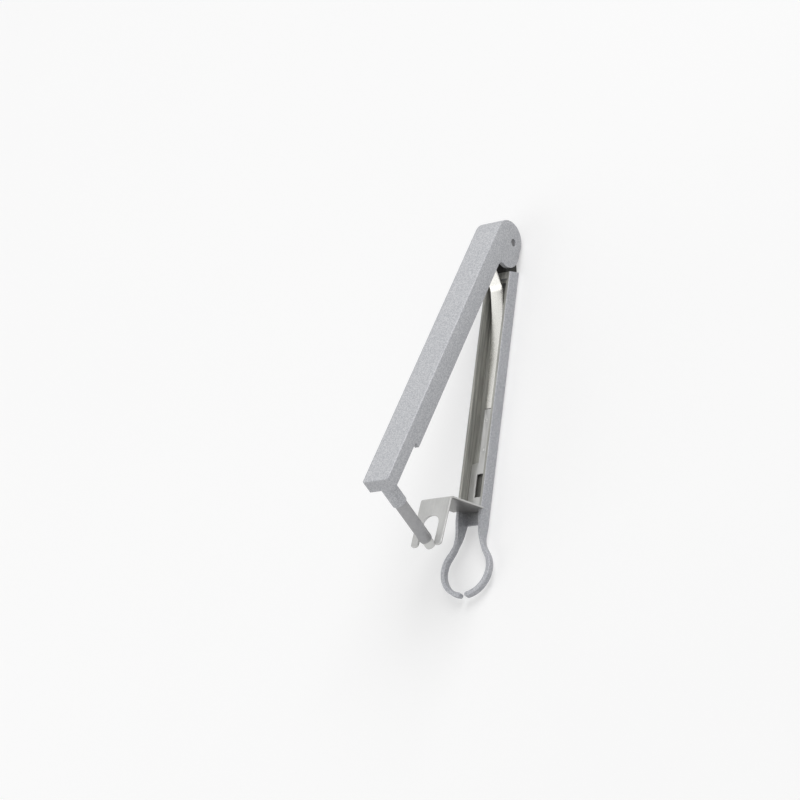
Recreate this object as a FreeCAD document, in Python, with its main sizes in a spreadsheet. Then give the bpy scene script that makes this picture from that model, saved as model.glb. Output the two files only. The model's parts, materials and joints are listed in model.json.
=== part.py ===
import FreeCAD, Part
import math
import os
import Sketcher

# Hand-held fruit stoner: a lever arm hinged to a lower arm.
# X runs from the hinge to the holder ring, Z is up and Y is the direction of the hinge axis.
# The origin of the whole part is the middle of the flat face that the lower arm rests on.
# Along the arms each size is a distance from the hinge axis, so every piece is drawn from there
# and is then moved back by rest_center_x.
# The lever and its plunger are drawn along X in their own frame and then opened about the hinge.

os.makedirs("parts", exist_ok=True)
doc = FreeCAD.newDocument("FruitStoner")
V = FreeCAD.Vector

# Driving sizes in millimetres and degrees.
SIZES = [
    # lower arm casting
    ("arm_width", 11.2),
    ("arm_wall", 1.2),
    ("ring_wall", 1.8),
    ("arm_height", 6.9),
    ("floor_thick", 1.3),
    ("bottom_round", 1.6),
    ("pivot_height", 7.0),
    ("shoulder_low_x", 9.6),
    ("shoulder_top_x", 12.2),
    ("channel_start_x", 15.0),
    ("floor_end_run", 18.9),
    ("ring_lead", 2.1),
    ("ring_radius", 10.8),
    ("flare_radius", 14.0),
    ("ring_low", 2.3),
    ("ring_thick", 2.6),
    ("ring_drop_run", 19.9),
    ("ring_level_run", 10.4),
    ("slit_width", 1.8),
    ("tongue_radius", 4.2),
    ("tongue_side_gap", 0.2),
    ("tongue_low_x", 8.5),
    ("tongue_end_z", 5.3),
    ("bar_end_round", 0.8),
    ("edge_round", 0.3),
    # lever casting
    ("lever_length", 134.0),
    ("lever_wall", 1.7),
    ("spine_top", 10.4),
    ("spine_thick", 1.8),
    ("deep_edge", 2.5),
    ("shallow_edge", 4.9),
    ("step_run", 22.7),
    ("end_thick", 2.0),
    ("head_radius", 9.0),
    ("head_back_x", -7.4),
    ("heel_x", 0.6),
    ("heel_drop", 5.4),
    ("cheek_front_x", 12.3),
    ("cheek_front_z", 0.5),
    ("cheek_radius", 8.2),
    ("cheek_fillet", 2.4),
    ("end_round", 0.6),
    ("flank_round", 0.5),
    # hinge
    ("pin_radius", 1.5),
    ("pin_gap", 0.03),
    ("pin_recess", 0.4),
    ("pin_round", 0.25),
    ("back_edge_z", -1.0),
    ("open_angle", 21.0),
    ("closed_angle", 8.0),
    ("stop_gap", 0.08),
    # plunger
    ("boss_inset", 3.7),
    ("boss_radius", 2.85),
    ("boss_drop", 5.3),
    ("boss_round", 0.4),
    ("rod_radius", 2.35),
    ("rod_drop", 28.4),
    ("tip_radius", 1.95),
    ("tip_length", 3.2),
    ("tip_cup", 0.5),
    ("stub_radius", 1.5),
    ("stub_length", 9.0),
    # leaf spring
    ("spring_thick", 0.6),
    ("spring_width", 5.4),
    ("spring_root_width", 2.8),
    ("spring_root_gap", 1.0),
    ("spring_lift_x", 47.0),
    ("spring_lift_radius", 85.0),
    ("spring_rise_angle", 17.0),
    ("spring_bend_x", 18.4),
    ("spring_bend_radius", 4.0),
    ("spring_lip_radius", 1.6),
    ("spring_tip_angle", 50.0),
    ("spring_tip_gap", 0.3),
    ("spring_lip", 2.6),
    ("spring_taper_x", 45.0),
    # stripper
    ("sheet_thick", 0.8),
    ("shank_run", 22.0),
    ("shank_width", 2.8),
    ("neck_run", 24.5),
    ("neck_side_gap", 0.15),
    ("window_run", 4.8),
    ("window_length", 9.3),
    ("window_width", 2.6),
    ("shoulder_run", 0.5),
    ("prong_round", 1.2),
    ("plate_width", 13.3),
    ("plate_back_run", 15.1),
    ("plate_front_run", 4.7),
    ("upright_angle", 80.0),
    ("bend_radius", 1.4),
    ("slot_width", 6.9),
    ("slot_back_run", 7.9),
    ("wall_top_gap", 0.3),
    # rivets
    ("rivet_radius", 0.7),
    ("rivet_gap", 0.05),
    ("rivet_inset", 5.0),
    ("rivet_pitch", 12.0),
]

# Sizes that follow from the driving ones.
DERIVED = [
    ("plunger_x", "lever_length - boss_inset"),
    ("step_x", "lever_length - step_run"),
    ("ring_center_x", "plunger_x + ring_lead"),
    ("floor_end_x", "ring_center_x - floor_end_run"),
    ("ring_drop_x", "ring_center_x - ring_drop_run"),
    ("ring_level_x", "ring_center_x - ring_level_run"),
    ("plate_start_x", "plunger_x - plate_back_run"),
    ("plate_end_x", "plunger_x + plate_front_run"),
    ("slot_start_x", "plunger_x - slot_back_run"),
    ("neck_start_x", "floor_end_x - neck_run"),
    ("window_start_x", "neck_start_x + window_run"),
    ("shank_start_x", "neck_start_x - shank_run"),
    ("spring_root_x", "neck_start_x - spring_root_gap"),
    ("rivet_first_x", "shank_start_x + rivet_inset"),
    ("half_width", "arm_width / 2"),
    ("half_inner", "arm_width / 2 - arm_wall"),
    ("ring_inner", "ring_radius - ring_wall"),
    ("flare_x", "ring_center_x - sqrt((flare_radius + ring_radius) ^ 2 - (half_width + flare_radius) ^ 2)"),
    ("flare_share", "ring_radius / (ring_radius + flare_radius)"),
    ("flare_run", "ring_center_x - flare_x"),
    ("join_x", "ring_center_x - flare_run * flare_share"),
    ("join_y", "(half_width + flare_radius) * flare_share"),
    ("flare_inner_radius", "(flare_run ^ 2 + half_inner ^ 2 - ring_inner ^ 2) / (2 * (ring_inner - half_inner))"),
    ("inner_share", "ring_inner / (ring_inner + flare_inner_radius)"),
    ("join_inner_x", "ring_center_x - flare_run * inner_share"),
    ("join_inner_y", "(half_inner + flare_inner_radius) * inner_share"),
    ("ring_front_x", "ring_center_x + ring_radius"),
    ("ring_inner_front_x", "ring_center_x + ring_inner"),
    ("above_z", "arm_height + 4"),
    ("below_z", "-4"),
    ("rest_center_x", "(shoulder_low_x + ring_drop_x) / 2"),
    ("before_x", "shoulder_low_x - 3"),
    ("slit_half", "slit_width / 2"),
    ("tongue_end_x", "channel_start_x + 1"),
    ("tongue_hole", "pin_radius + pin_gap"),
    ("pin_length", "arm_width - 2 * pin_recess"),
    ("ring_top", "ring_low + ring_thick"),
    ("beyond_x", "ring_front_x + 5"),
    ("tongue_width", "arm_width - 2 * lever_wall - 2 * tongue_side_gap"),
    ("tongue_top", "pivot_height + tongue_radius"),
    ("tongue_bottom", "pivot_height - tongue_radius"),
    ("lever_half_inner", "arm_width / 2 - lever_wall"),
    ("head_center_x", "head_back_x + head_radius"),
    ("head_center_z", "spine_top - head_radius"),
    ("head_inner_radius", "head_radius - spine_thick"),
    ("heel_run", "heel_x - head_back_x"),
    ("heel_radius", "(heel_run ^ 2 + (head_center_z + heel_drop) ^ 2) / (2 * heel_run)"),
    ("head_inner_x", "head_back_x + spine_thick"),
    ("spine_under", "spine_top - spine_thick"),
    ("end_inner_x", "lever_length - end_thick"),
    ("fillet_x", "cheek_front_x + cheek_fillet * 0.9"),
    ("boss_length", "boss_drop + spine_under + spine_thick / 2"),
    ("lever_inner_width", "2 * lever_half_inner"),
    ("under_z", "-heel_drop - 8"),
    ("behind_x", "head_back_x - 5"),
    ("heel_z", "-heel_drop"),
    ("rod_length", "rod_drop - boss_drop"),
    ("tip_start", "rod_length - tip_length"),
    ("taper_start", "tip_start - (rod_radius - tip_radius) * 2"),
    ("stub_length_inner", "stub_length - 0.2"),
    ("cup_z", "rod_length - tip_cup"),
    ("closed_cos", "cos(closed_angle)"),
    ("closed_sin", "sin(closed_angle)"),
    ("open_cos", "cos(open_angle)"),
    ("open_sin", "sin(open_angle)"),
    ("plate_mid", "shallow_edge - stop_gap - sheet_thick / 2"),
    ("corner_x", "plate_start_x * closed_cos - plate_mid * closed_sin"),
    ("corner_z", "pivot_height + plate_start_x * closed_sin + plate_mid * closed_cos"),
    ("shank_low", "floor_thick + spring_thick"),
    ("shank_mid", "shank_low + sheet_thick / 2"),
    ("foot_x", "corner_x - (corner_z - shank_mid) / tan(upright_angle)"),
    ("foot_cut", "bend_radius * tan(upright_angle / 2)"),
    ("corner_cut", "bend_radius * tan((upright_angle - closed_angle) / 2)"),
    ("shank_length", "foot_x - shank_start_x - foot_cut"),
    ("upright_length", "(corner_z - shank_mid) / sin(upright_angle) - foot_cut - corner_cut"),
    ("plate_length", "plate_end_x - plate_start_x - corner_cut"),
    ("neck_half", "half_inner - neck_side_gap"),
    ("shank_half", "shank_width / 2"),
    ("plate_half", "plate_width / 2"),
    ("wide_y", "plate_half + 2"),
    ("neck_x", "neck_start_x - shank_start_x"),
    ("neck_full_x", "neck_x + shoulder_run"),
    ("window_near_x", "window_start_x - shank_start_x"),
    ("window_far_x", "window_near_x + window_length"),
    ("window_half", "window_width / 2"),
    ("past_foot_x", "foot_x - shank_start_x + plate_end_x - plate_start_x + 10"),
    ("strip_low_z", "-2 * sheet_thick"),
    ("side_cut", "arm_height + wall_top_gap - shank_mid + 2 * sheet_thick"),
    ("slot_half", "slot_width / 2"),
    ("slot_back_x", "slot_start_x * closed_cos - plate_mid * closed_sin - shank_start_x"),
    ("slot_center_x", "slot_back_x + slot_half"),
    ("back_x", "-2"),
    ("spring_mid", "floor_thick + spring_thick / 2"),
    ("spring_half", "spring_width / 2"),
    ("spring_root_half", "spring_root_width / 2"),
    ("spring_wide", "spring_half + 2"),
    ("spring_flat", "spring_root_x - spring_lift_x"),
    ("bend_run", "spring_lift_x - spring_lift_radius * sin(spring_rise_angle) - spring_bend_x"),
    ("lift_rise", "spring_lift_radius * (1 - cos(spring_rise_angle))"),
    ("bend_z", "spring_mid + lift_rise + bend_run * tan(spring_rise_angle)"),
    ("spring_bend_cut", "spring_bend_radius * tan((spring_tip_angle - spring_rise_angle) / 2)"),
    ("spring_lip_cut", "spring_lip_radius * tan((spring_tip_angle + open_angle) / 2)"),
    ("spring_rise", "bend_run / cos(spring_rise_angle) - spring_bend_cut"),
    ("lip_depth", "spine_under - spring_tip_gap - spring_thick / 2"),
    ("spring_reach", "lip_depth + spring_bend_x * open_sin - (bend_z - pivot_height) * open_cos"),
    ("spring_tip", "spring_reach / sin(spring_tip_angle + open_angle) - spring_bend_cut - spring_lip_cut"),
    ("lip_angle", "-open_angle"),
    ("half_turn", "180"),
    ("taper_near_x", "spring_root_x - shank_start_x"),
    ("taper_far_x", "spring_root_x - spring_taper_x"),
    ("rivet_hole", "rivet_radius + rivet_gap"),
    ("rivet_second_x", "rivet_first_x + rivet_pitch"),
    ("rivet_length", "shank_low + sheet_thick"),
    ("spring_rivet_a", "spring_root_x - rivet_first_x"),
    ("spring_rivet_b", "spring_root_x - rivet_second_x"),
    ("strip_rivet_a", "rivet_first_x - shank_start_x"),
    ("strip_rivet_b", "rivet_second_x - shank_start_x"),
    ("plunger_place_x", "plunger_x * open_cos + boss_drop * open_sin"),
    ("plunger_place_z", "pivot_height + plunger_x * open_sin - boss_drop * open_cos"),
]

sheet = doc.addObject("Spreadsheet::Sheet", "Sizes")
row = 1
for label, number in SIZES:
    cell = "A%d" % row
    sheet.set(cell, str(number))
    sheet.setAlias(cell, label)
    row += 1
doc.recompute()
for label, formula in DERIVED:
    cell = "A%d" % row
    sheet.set(cell, "=" + formula)
    sheet.setAlias(cell, label)
    row += 1
    doc.recompute()


def size(term):
    """Value of a named size; a leading minus sign turns it round."""
    if term == "0":
        return 0.0
    if term.startswith("-"):
        return -float(sheet.get(term[1:]))
    return float(sheet.get(term))


def bound(term):
    """Expression text that ties a property to a named size."""
    if term.startswith("-"):
        return "-Sizes." + term[1:]
    return "Sizes." + term


def origin_plane(body, role):
    for item in body.Origin.OriginFeatures:
        if item.Role == role:
            return item
    raise RuntimeError("no plane " + role)


def new_sketch(body, label, role, lift=None):
    """Sketch on an origin plane of the body, moved along the plane's normal by a named size."""
    sketch = body.newObject("Sketcher::SketchObject", label)
    sketch.AttachmentSupport = [(origin_plane(body, role), "")]
    sketch.MapMode = "FlatFace"
    if lift is not None:
        sketch.AttachmentOffset = FreeCAD.Placement(V(0, 0, size(lift)), FreeCAD.Rotation())
        sketch.setExpression("AttachmentOffset.Base.z", bound(lift))
    return sketch


def tie(sketch, index, term):
    sketch.setExpression("Constraints[%d]" % index, bound(term))


def pin_point(sketch, geometry, position, across, up):
    """Hold one point at two named distances from the sketch origin."""
    for kind, term in (("DistanceX", across), ("DistanceY", up)):
        index = sketch.addConstraint(
            Sketcher.Constraint(kind, -1, 1, geometry, position, size(term)))
        if term != "0":
            tie(sketch, index, term)


def arc_middle(first, second, radius, turn):
    """Middle point of the shorter arc between two points; turn is 1 for a left-hand turn."""
    chord = second.sub(first)
    half = chord.Length / 2
    rise = radius - math.sqrt(max(radius * radius - half * half, 0.0))
    side = V(chord.y, -chord.x, 0).normalize().multiply(rise * turn)
    return first.add(chord.multiply(0.5)).add(side)


def loop(sketch, corners, arcs=None):
    """Closed outline through named corners; arcs maps an edge number to (radius, turn)."""
    arcs = arcs or {}
    points = [V(size(a), size(b), 0) for a, b in corners]
    count = len(points)
    edges = []
    for i in range(count):
        first = points[i]
        second = points[(i + 1) % count]
        if i in arcs:
            radius, turn = arcs[i]
            middle = arc_middle(V(first), V(second), size(radius), turn)
            if turn > 0:
                curve = Part.Arc(first, middle, second)
            else:
                curve = Part.Arc(second, middle, first)
        else:
            curve = Part.LineSegment(first, second)
        edges.append(sketch.addGeometry(curve, False))
    ends = []
    for i in range(count):
        backward = i in arcs and arcs[i][1] < 0
        ends.append((2, 1) if backward else (1, 2))
    for i in range(count):
        after = (i + 1) % count
        sketch.addConstraint(Sketcher.Constraint(
            "Coincident", edges[i], ends[i][1], edges[after], ends[after][0]))
    for i in range(count):
        pin_point(sketch, edges[i], ends[i][0], corners[i][0], corners[i][1])
    for i in arcs:
        index = sketch.addConstraint(
            Sketcher.Constraint("Radius", edges[i], size(arcs[i][0])))
        tie(sketch, index, arcs[i][0])
    return edges


def disc(sketch, across, up, radius):
    """Circle with a named centre and radius."""
    ring = sketch.addGeometry(
        Part.Circle(V(size(across), size(up), 0), V(0, 0, 1), size(radius)), False)
    pin_point(sketch, ring, 3, across, up)
    index = sketch.addConstraint(Sketcher.Constraint("Radius", ring, size(radius)))
    tie(sketch, index, radius)


def strip_path(sketch, lengths, radii, angles):
    """Open path of straights joined by tangent bends, starting at the sketch origin.

    lengths, radii and angles name the straight lengths, the bend radii and the direction of
    each straight in degrees.
    """
    spot = V(0, 0, 0)
    chain = []
    for i in range(len(lengths)):
        heading = math.radians(size(angles[i]))
        ahead = spot.add(V(math.cos(heading), math.sin(heading), 0).multiply(size(lengths[i])))
        straight = sketch.addGeometry(Part.LineSegment(spot, ahead), False)
        chain.append(("straight", straight, 1, 2, i))
        spot = ahead
        if i < len(radii):
            turn = math.radians(size(angles[i + 1]) - size(angles[i]))
            sign = 1 if turn > 0 else -1
            radius = size(radii[i])
            center = spot.add(V(-math.sin(heading), math.cos(heading), 0).multiply(radius * sign))
            spokes = []
            for share in (0.0, 0.5, 1.0):
                spoke = heading - sign * math.pi / 2 + turn * share
                spokes.append(center.add(V(math.cos(spoke), math.sin(spoke), 0).multiply(radius)))
            if sign < 0:
                spokes.reverse()
            bend = sketch.addGeometry(Part.Arc(spokes[0], spokes[1], spokes[2]), False)
            chain.append(("bend", bend, 1, 2, i) if sign > 0 else ("bend", bend, 2, 1, i))
            spot = spokes[2] if sign > 0 else spokes[0]
    pin_point(sketch, chain[0][1], 1, "0", "0")
    for near, far in zip(chain, chain[1:]):
        sketch.addConstraint(Sketcher.Constraint("Tangent", near[1], near[3], far[1], far[2]))
    for kind, item, start, end, i in chain:
        if kind == "bend":
            index = sketch.addConstraint(Sketcher.Constraint("Radius", item, size(radii[i])))
            tie(sketch, index, radii[i])
        else:
            index = sketch.addConstraint(
                Sketcher.Constraint("Distance", item, size(lengths[i])))
            tie(sketch, index, lengths[i])
            if angles[i] == "0":
                sketch.addConstraint(Sketcher.Constraint("Horizontal", item))
            else:
                index = sketch.addConstraint(Sketcher.Constraint(
                    "Angle", item, math.radians(size(angles[i]))))
                sketch.setExpression("Constraints[%d]" % index, bound(angles[i]) + " * 1 deg")


def pad(body, sketch, label, term, symmetric=False):
    feature = body.newObject("PartDesign::Pad", label)
    feature.Profile = sketch
    feature.Length = size(term)
    feature.setExpression("Length", bound(term))
    if symmetric:
        feature.Midplane = True
    sketch.Visibility = False
    doc.recompute()
    return feature


def pocket(body, sketch, label, term=None, up=False):
    """Cut the sketch away: through both ways, or by a named depth, upwards where up is true."""
    before = body.Shape.Volume
    feature = body.newObject("PartDesign::Pocket", label)
    feature.Profile = sketch
    if term is None:
        feature.Type = "ThroughAll"
        feature.Midplane = True
    else:
        feature.Type = "Length"
        feature.Length = size(term)
        feature.setExpression("Length", bound(term))
        feature.Reversed = up
    sketch.Visibility = False
    doc.recompute()
    if not body.Shape.Volume < before - 1e-6:
        raise RuntimeError(label + " cuts nothing")
    return feature


def round_edges(body, label, chosen, term):
    """Round the edges of the tip for which chosen(edge) is true."""
    names = []
    for number, edge in enumerate(body.Tip.Shape.Edges):
        if chosen(edge):
            names.append("Edge%d" % (number + 1))
    if not names:
        raise RuntimeError(label + " finds no edge")
    base = body.Tip
    feature = body.newObject("PartDesign::Fillet", label)
    feature.Base = (base, names)
    feature.Radius = size(term)
    feature.setExpression("Radius", bound(term))
    doc.recompute()
    return feature


def new_body(label):
    body = doc.addObject("PartDesign::Body", label)
    body.Label = label
    doc.recompute()
    return body


def place(node, across, up, turn_axis=None, angle=None):
    """Put a sub-part's origin at a named distance from the hinge and a named height."""
    node.Placement = FreeCAD.Placement(V(0, 0, 0), FreeCAD.Rotation(turn_axis or V(0, 0, 1), 180))
    node.setExpression("Placement.Rotation.Angle", bound(angle) + " * 1 deg" if angle else "0 deg")
    start = "" if across == "0" else "Sizes." + across + " "
    node.setExpression("Placement.Base.x", start + "- Sizes.rest_center_x")
    if up != "0":
        node.setExpression("Placement.Base.z", "Sizes." + up)


def sweep(body, label, path, section):
    """Carry a section along a path."""
    feature = body.newObject("PartDesign::AdditivePipe", label)
    feature.Profile = section
    feature.Spine = path
    feature.Mode = "Frenet"
    feature.Transition = "Transformed"
    path.Visibility = False
    section.Visibility = False
    doc.recompute()
    return feature


def strip_section(body, label, half_width, thickness):
    """Rectangle across the start of a strip."""
    sketch = new_sketch(body, label, "YZ_Plane")
    half = size(thickness) / 2
    wide = size(half_width)
    spots = [V(-wide, -half, 0), V(wide, -half, 0), V(wide, half, 0), V(-wide, half, 0)]
    sides = []
    for i in range(4):
        sides.append(sketch.addGeometry(Part.LineSegment(spots[i], spots[(i + 1) % 4]), False))
    for i in range(4):
        sketch.addConstraint(Sketcher.Constraint("Coincident", sides[i], 2, sides[(i + 1) % 4], 1))
    for i in (0, 2):
        sketch.addConstraint(Sketcher.Constraint("Horizontal", sides[i]))
        sketch.addConstraint(Sketcher.Constraint("Vertical", sides[i + 1]))
    sketch.addConstraint(Sketcher.Constraint("Symmetric", sides[0], 1, sides[1], 2, -1, 1))
    index = sketch.addConstraint(
        Sketcher.Constraint("DistanceX", sides[0], 1, sides[0], 2, 2 * wide))
    sketch.setExpression("Constraints[%d]" % index, "2 * Sizes." + half_width)
    index = sketch.addConstraint(
        Sketcher.Constraint("DistanceY", sides[1], 1, sides[1], 2, 2 * half))
    tie(sketch, index, thickness)
    return sketch


def upright_edge(edge):
    ends = [vertex.Point for vertex in edge.Vertexes]
    return len(ends) == 2 and abs(ends[0].x - ends[1].x) + abs(ends[0].y - ends[1].y) < 1e-6


def edge_middle(edge):
    return edge.valueAt((edge.FirstParameter + edge.LastParameter) / 2)


def on_outline(spot):
    """True on the upright outer faces of the arm and the ring."""
    reach = math.hypot(spot.x - size("ring_center_x"), spot.y)
    if spot.x > size("join_x") - 1e-4:
        return abs(reach - size("ring_radius")) < 1e-3
    if spot.x > size("flare_x") + 1e-4:
        rise = size("half_width") + size("flare_radius") - abs(spot.y)
        return abs(math.hypot(spot.x - size("flare_x"), rise) - size("flare_radius")) < 1e-3
    return abs(abs(spot.y) - size("half_width")) < 1e-4


def bottom_edge(edge):
    """Lower edges along the sides of the arm and round the ring."""
    spot = edge_middle(edge)
    return abs(spot.z) < 1e-4 and spot.x > size("shoulder_low_x") + 1e-3 and on_outline(spot)


def slit_corner(edge):
    spot = edge_middle(edge)
    beside = abs(abs(spot.y) - size("slit_half")) < 1e-4
    return upright_edge(edge) and beside and spot.x > size("ring_center_x") + 1


def level_rim(edge):
    """Level edges along the outside of the channel walls and of the ring."""
    spots = [vertex.Point for vertex in edge.Vertexes] + [edge_middle(edge)]
    level = abs(spots[0].z - spots[-2].z) < 1e-4 and not upright_edge(edge)
    sharp = abs(spots[-1].z - size("bottom_round")) > 1e-3
    ahead = spots[-1].x > size("shoulder_top_x") + 1
    return level and sharp and ahead and all(map(on_outline, spots))


# Lower arm: one casting with the channel, the holder ring and the hinge tongue.
arm = new_body("lower_arm")
sketch = new_sketch(arm, "arm_outline", "XY_Plane")
loop(sketch, [
    ("shoulder_low_x", "-half_width"), ("flare_x", "-half_width"), ("join_x", "-join_y"),
    ("ring_front_x", "0"), ("join_x", "join_y"), ("flare_x", "half_width"),
    ("shoulder_low_x", "half_width"),
], {1: ("flare_radius", -1), 2: ("ring_radius", 1), 3: ("ring_radius", 1),
    4: ("flare_radius", -1)})
pad(arm, sketch, "arm_block", "arm_height")
round_edges(arm, "bottom", bottom_edge, "bottom_round")

INNER_ARCS = {1: ("flare_inner_radius", -1), 2: ("ring_inner", 1), 3: ("ring_inner", 1),
              4: ("flare_inner_radius", -1)}
sketch = new_sketch(arm, "channel_outline", "XY_Plane", "floor_thick")
loop(sketch, [
    ("channel_start_x", "-half_inner"), ("flare_x", "-half_inner"),
    ("join_inner_x", "-join_inner_y"), ("ring_inner_front_x", "0"),
    ("join_inner_x", "join_inner_y"), ("flare_x", "half_inner"),
    ("channel_start_x", "half_inner"),
], INNER_ARCS)
pocket(arm, sketch, "channel", "above_z", up=True)

sketch = new_sketch(arm, "ring_opening_outline", "XY_Plane")
loop(sketch, [
    ("floor_end_x", "-half_inner"), ("flare_x", "-half_inner"),
    ("join_inner_x", "-join_inner_y"), ("ring_inner_front_x", "0"),
    ("join_inner_x", "join_inner_y"), ("flare_x", "half_inner"),
    ("floor_end_x", "half_inner"),
], INNER_ARCS)
pocket(arm, sketch, "ring_opening")

sketch = new_sketch(arm, "above_ring_outline", "XZ_Plane")
loop(sketch, [
    ("ring_drop_x", "arm_height"), ("ring_level_x", "ring_top"), ("beyond_x", "ring_top"),
    ("beyond_x", "above_z"), ("ring_drop_x", "above_z"),
])
pocket(arm, sketch, "above_ring")

sketch = new_sketch(arm, "below_ring_outline", "XZ_Plane")
loop(sketch, [
    ("ring_drop_x", "0"), ("ring_drop_x", "below_z"), ("beyond_x", "below_z"),
    ("beyond_x", "ring_low"), ("ring_level_x", "ring_low"),
])
pocket(arm, sketch, "below_ring")

sketch = new_sketch(arm, "slit_outline", "XY_Plane")
loop(sketch, [
    ("ring_center_x", "-slit_half"), ("beyond_x", "-slit_half"), ("beyond_x", "slit_half"),
    ("ring_center_x", "slit_half"),
])
pocket(arm, sketch, "slit")

sketch = new_sketch(arm, "shoulder_outline", "XZ_Plane")
loop(sketch, [
    ("before_x", "0"), ("shoulder_low_x", "0"), ("shoulder_top_x", "arm_height"),
    ("shoulder_top_x", "above_z"), ("before_x", "above_z"),
])
pocket(arm, sketch, "shoulder")

sketch = new_sketch(arm, "tongue_outline", "XZ_Plane")
loop(sketch, [
    ("0", "tongue_top"), ("-tongue_radius", "pivot_height"), ("0", "tongue_bottom"),
    ("tongue_low_x", "0"), ("tongue_end_x", "0"), ("tongue_end_x", "tongue_end_z"),
], {0: ("tongue_radius", 1), 1: ("tongue_radius", 1)})
pad(arm, sketch, "tongue", "tongue_width", symmetric=True)

sketch = new_sketch(arm, "tongue_hole_outline", "XZ_Plane")
disc(sketch, "0", "pivot_height", "tongue_hole")
pocket(arm, sketch, "tongue_bore")

sketch = new_sketch(arm, "rivet_hole_outlines", "XY_Plane")
disc(sketch, "rivet_first_x", "0", "rivet_radius")
disc(sketch, "rivet_second_x", "0", "rivet_radius")
pocket(arm, sketch, "rivet_holes")

round_edges(arm, "bar_ends", slit_corner, "bar_end_round")
round_edges(arm, "rim", level_rim, "edge_round")
place(arm, "0", "0")

# Lever: one casting, drawn along X with the hinge axis at its origin.
def on_flank(edge):
    return abs(abs(edge_middle(edge).y) - size("half_width")) < 1e-4


def end_rim(edge):
    """Top and side edges of the lever's far end."""
    spot = edge_middle(edge)
    top = abs(spot.z - size("spine_top")) < 1e-4
    return abs(spot.x - size("lever_length")) < 1e-4 and (top or upright_edge(edge))


def flank_rim(edge):
    """Edges of the flanks along the spine; they run on round the head to the heel."""
    return on_flank(edge) and abs(edge_middle(edge).z - size("spine_top")) < 1e-4


lever = new_body("lever")
sketch = new_sketch(lever, "lever_outline", "XZ_Plane")
loop(sketch, [
    ("head_center_x", "spine_top"), ("head_back_x", "head_center_z"), ("heel_x", "heel_z"),
    ("cheek_front_x", "cheek_front_z"), ("fillet_x", "deep_edge"), ("step_x", "deep_edge"),
    ("step_x", "shallow_edge"), ("lever_length", "shallow_edge"), ("lever_length", "spine_top"),
], {0: ("head_radius", 1), 1: ("heel_radius", 1), 2: ("cheek_radius", 1),
    3: ("cheek_fillet", -1)})
pad(lever, sketch, "lever_block", "arm_width", symmetric=True)
round_edges(lever, "end_rim", end_rim, "end_round")
round_edges(lever, "flank_rim", flank_rim, "flank_round")

sketch = new_sketch(lever, "hollow_outline", "XZ_Plane")
loop(sketch, [
    ("head_center_x", "spine_under"), ("head_inner_x", "head_center_z"),
    ("head_inner_x", "back_edge_z"), ("behind_x", "back_edge_z"), ("behind_x", "under_z"),
    ("end_inner_x", "under_z"), ("end_inner_x", "spine_under"),
], {0: ("head_inner_radius", 1)})
hollow = pocket(lever, sketch, "hollow", "lever_inner_width")
hollow.Midplane = True
doc.recompute()

sketch = new_sketch(lever, "boss_outline", "XY_Plane", "-boss_drop")
disc(sketch, "plunger_x", "0", "boss_radius")
pad(lever, sketch, "boss", "boss_length")

sketch = new_sketch(lever, "boss_bore_outline", "XY_Plane", "-boss_drop")
disc(sketch, "plunger_x", "0", "stub_radius")
pocket(lever, sketch, "boss_bore", "stub_length", up=True)

sketch = new_sketch(lever, "ear_hole_outline", "XZ_Plane")
disc(sketch, "0", "0", "pin_radius")
pocket(lever, sketch, "ear_holes")


def boss_rim(edge):
    spot = edge_middle(edge)
    return abs(spot.z + size("boss_drop")) < 1e-4 and edge.Length > 6 * size("stub_radius")


round_edges(lever, "boss_rim", boss_rim, "boss_round")
place(lever, "0", "pivot_height", V(0, -1, 0), "open_angle")

# Hinge pin, held in the lever's two ears and turning in the tongue.
hinge = new_body("hinge_pin")
sketch = new_sketch(hinge, "pin_outline", "XZ_Plane")
disc(sketch, "0", "0", "pin_radius")
pad(hinge, sketch, "pin", "pin_length", symmetric=True)
round_edges(hinge, "pin_ends", lambda edge: edge.Length > size("pin_radius") * 6, "pin_round")
place(hinge, "0", "pivot_height")

# Plunger: turned rod with a stub that is pressed into the lever's boss.
plunger = new_body("plunger")
sketch = new_sketch(plunger, "plunger_outline", "XZ_Plane")
loop(sketch, [
    ("0", "stub_length_inner"), ("0", "-cup_z"), ("tip_radius", "-rod_length"),
    ("tip_radius", "-tip_start"), ("rod_radius", "-taper_start"), ("rod_radius", "0"),
    ("stub_radius", "0"), ("stub_radius", "stub_length_inner"),
])
turned = plunger.newObject("PartDesign::Revolution", "turned")
turned.Profile = sketch
turned.ReferenceAxis = (sketch, ["V_Axis"])
turned.Angle = 360
sketch.Visibility = False
place(plunger, "plunger_place_x", "plunger_place_z", V(0, -1, 0), "open_angle")

# Leaf spring: drawn from its root towards the hinge, then turned to face it.
spring = new_body("leaf_spring")
path = new_sketch(spring, "spring_path", "XZ_Plane")
strip_path(path, ["spring_flat", "spring_rise", "spring_tip", "spring_lip"],
           ["spring_lift_radius", "spring_bend_radius", "spring_lip_radius"],
           ["0", "spring_rise_angle", "spring_tip_angle", "lip_angle"])
section = strip_section(spring, "spring_section", "spring_half", "spring_thick")
sweep(spring, "spring_strip", path, section)
sketch = new_sketch(spring, "spring_taper_outlines", "XY_Plane")
for side in ("", "-"):
    loop(sketch, [
        ("back_x", side + "spring_root_half"), ("taper_near_x", side + "spring_root_half"),
        ("taper_far_x", side + "spring_half"), ("taper_far_x", side + "spring_wide"),
        ("back_x", side + "spring_wide"),
    ])
pocket(spring, sketch, "spring_taper")
sketch = new_sketch(spring, "spring_hole_outlines", "XY_Plane")
disc(sketch, "spring_rivet_a", "0", "rivet_hole")
disc(sketch, "spring_rivet_b", "0", "rivet_hole")
pocket(spring, sketch, "spring_holes")
place(spring, "spring_root_x", "spring_mid", V(0, 0, 1), "half_turn")

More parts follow.
